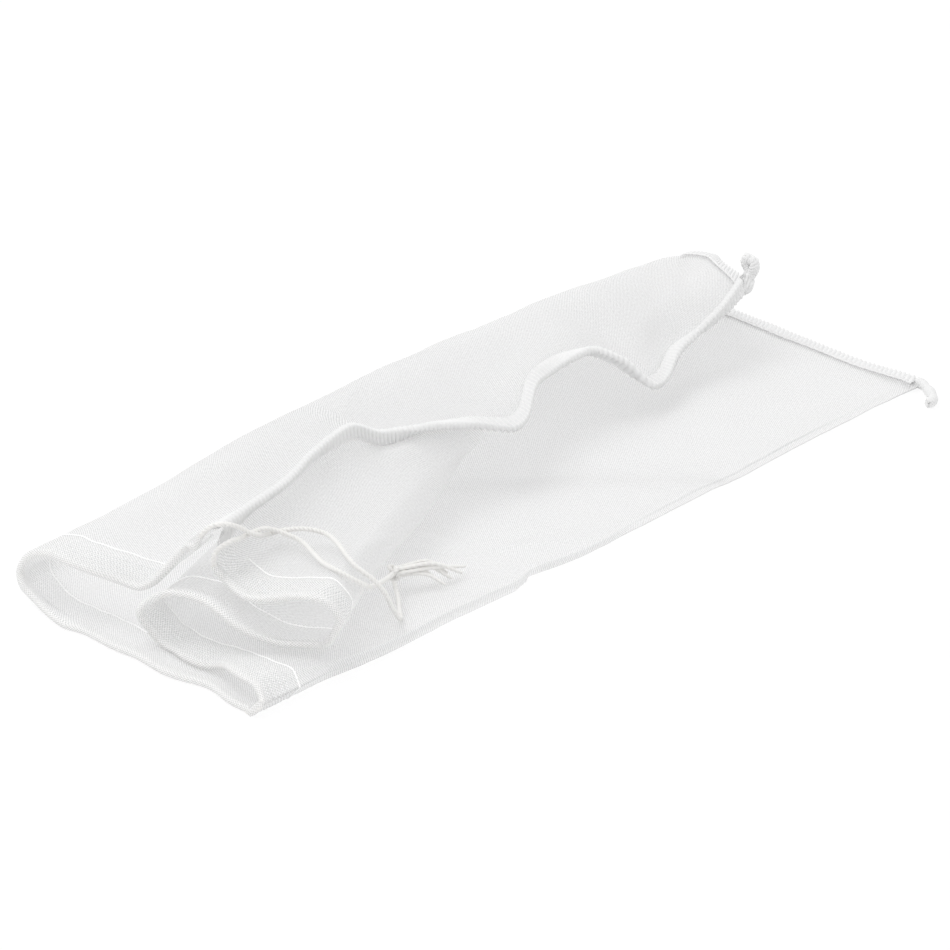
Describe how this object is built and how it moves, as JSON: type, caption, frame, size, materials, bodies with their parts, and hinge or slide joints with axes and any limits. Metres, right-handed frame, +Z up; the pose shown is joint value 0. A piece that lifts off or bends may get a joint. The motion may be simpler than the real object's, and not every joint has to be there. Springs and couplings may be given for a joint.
{
  "type": "mesh produce bag",
  "caption": "Fine mesh drawstring bag for produce and straining, lying flat and folded lengthwise, with overlocked seams, a turned casing and a knotted cord.",
  "frame": {"origin": "on the table, under the middle of the lying bag", "axes": "+Z up from the table, +Y from the mouth to the bottom seam, +X towards the front fold"},
  "size_m": [0.1866, 0.492, 0.065],
  "materials": {
    "net": "fine woven white nylon net, see-through in single layers",
    "seam_thread": "soft white spun polyester thread",
    "cord": "matte white twisted three-ply cotton"
  },
  "bodies": {
    "bag": {"mesh_body": "net", "mouth_casing": "net", "side_seam_overlock": "seam_thread", "bottom_seam_overlock": "seam_thread", "seam_corner_tail": "seam_thread", "front_corner_tail": "seam_thread", "drawstring_in_casing": "cord", "drawstring_strand_outer": "cord", "drawstring_strand_inner": "cord"},
    "drawstring_end": {"drawstring_knot": "cord", "frayed_ply_1": "cord", "frayed_ply_2": "cord", "frayed_ply_3": "cord", "frayed_ply_4": "cord", "frayed_ply_5": "cord", "frayed_ply_6": "cord"}
  },
  "joints": [
    {"name": "drawstring_pull", "type": "slide", "parent": "bag", "child": "drawstring_end", "axis": [0.7317, 0.6816, 0], "range_m": [0, 0.06]}
  ]
}
